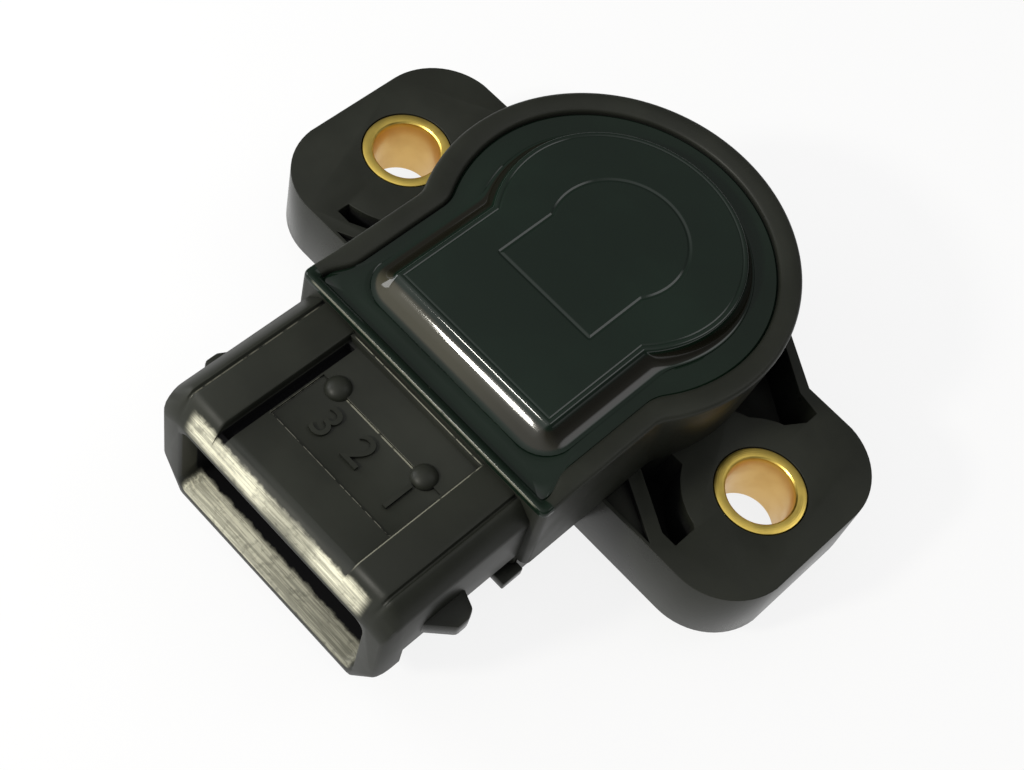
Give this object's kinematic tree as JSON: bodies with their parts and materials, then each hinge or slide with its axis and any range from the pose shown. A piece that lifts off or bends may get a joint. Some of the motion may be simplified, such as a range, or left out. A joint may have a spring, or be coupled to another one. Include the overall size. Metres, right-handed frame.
{
  "type": "throttle position sensor",
  "caption": "Black moulded rotary position sensor with two bushed fixing ears, a potted keyhole cover, a locating pilot and a side plug socket.",
  "frame": {"origin": "on the mounting face, midway between the two fixing holes and on the rotor axis", "axes": "+Z along the rotor axis away from the throttle body; the fixing holes lie on X; the plug socket opens towards -Y"},
  "size_m": [0.0498, 0.0458, 0.0174],
  "materials": {
    "housing": "satin",
    "bushings": "turned",
    "bearing": "sintered bronze",
    "seals": "matte",
    "board": "matte",
    "carbon": "matte",
    "silver": "satin",
    "terminals": "tin plated",
    "springs_bronze": "satin",
    "cover": "gloss",
    "resin": "gloss",
    "rotor": "satin",
    "spring_steel": "satin",
    "washer": "satin"
  },
  "bodies": {
    "housing_body": {"housing": "housing", "bushing_left": "bushings", "bushing_right": "bushings", "bearing_bush": "bearing", "pilot_ring": "seals", "rotor_seal": "seals", "element_board": "board", "resistive_track": "carbon", "collector_track": "silver", "terminal_1": "terminals", "terminal_2": "terminals", "terminal_3": "terminals", "clip_1": "springs_bronze", "clip_2": "springs_bronze", "clip_3": "springs_bronze", "cover": "cover", "potting_resin": "resin", "thrust_washer": "washer", "return_spring": "spring_steel"},
    "rotor_body": {"rotor": "rotor", "drive_clip": "spring_steel", "wiper": "springs_bronze", "snap_ring": "spring_steel"}
  },
  "joints": [
    {"name": "rotor_turn", "type": "hinge", "parent": "housing_body", "child": "rotor_body", "pos_m": [0, 0, 0], "axis": [0, 0, 1], "range_deg": [0, 100], "stiffness_Nm_per_rad": 0.01, "springref_deg": -20.05, "deforming": ["return_spring"]}
  ]
}
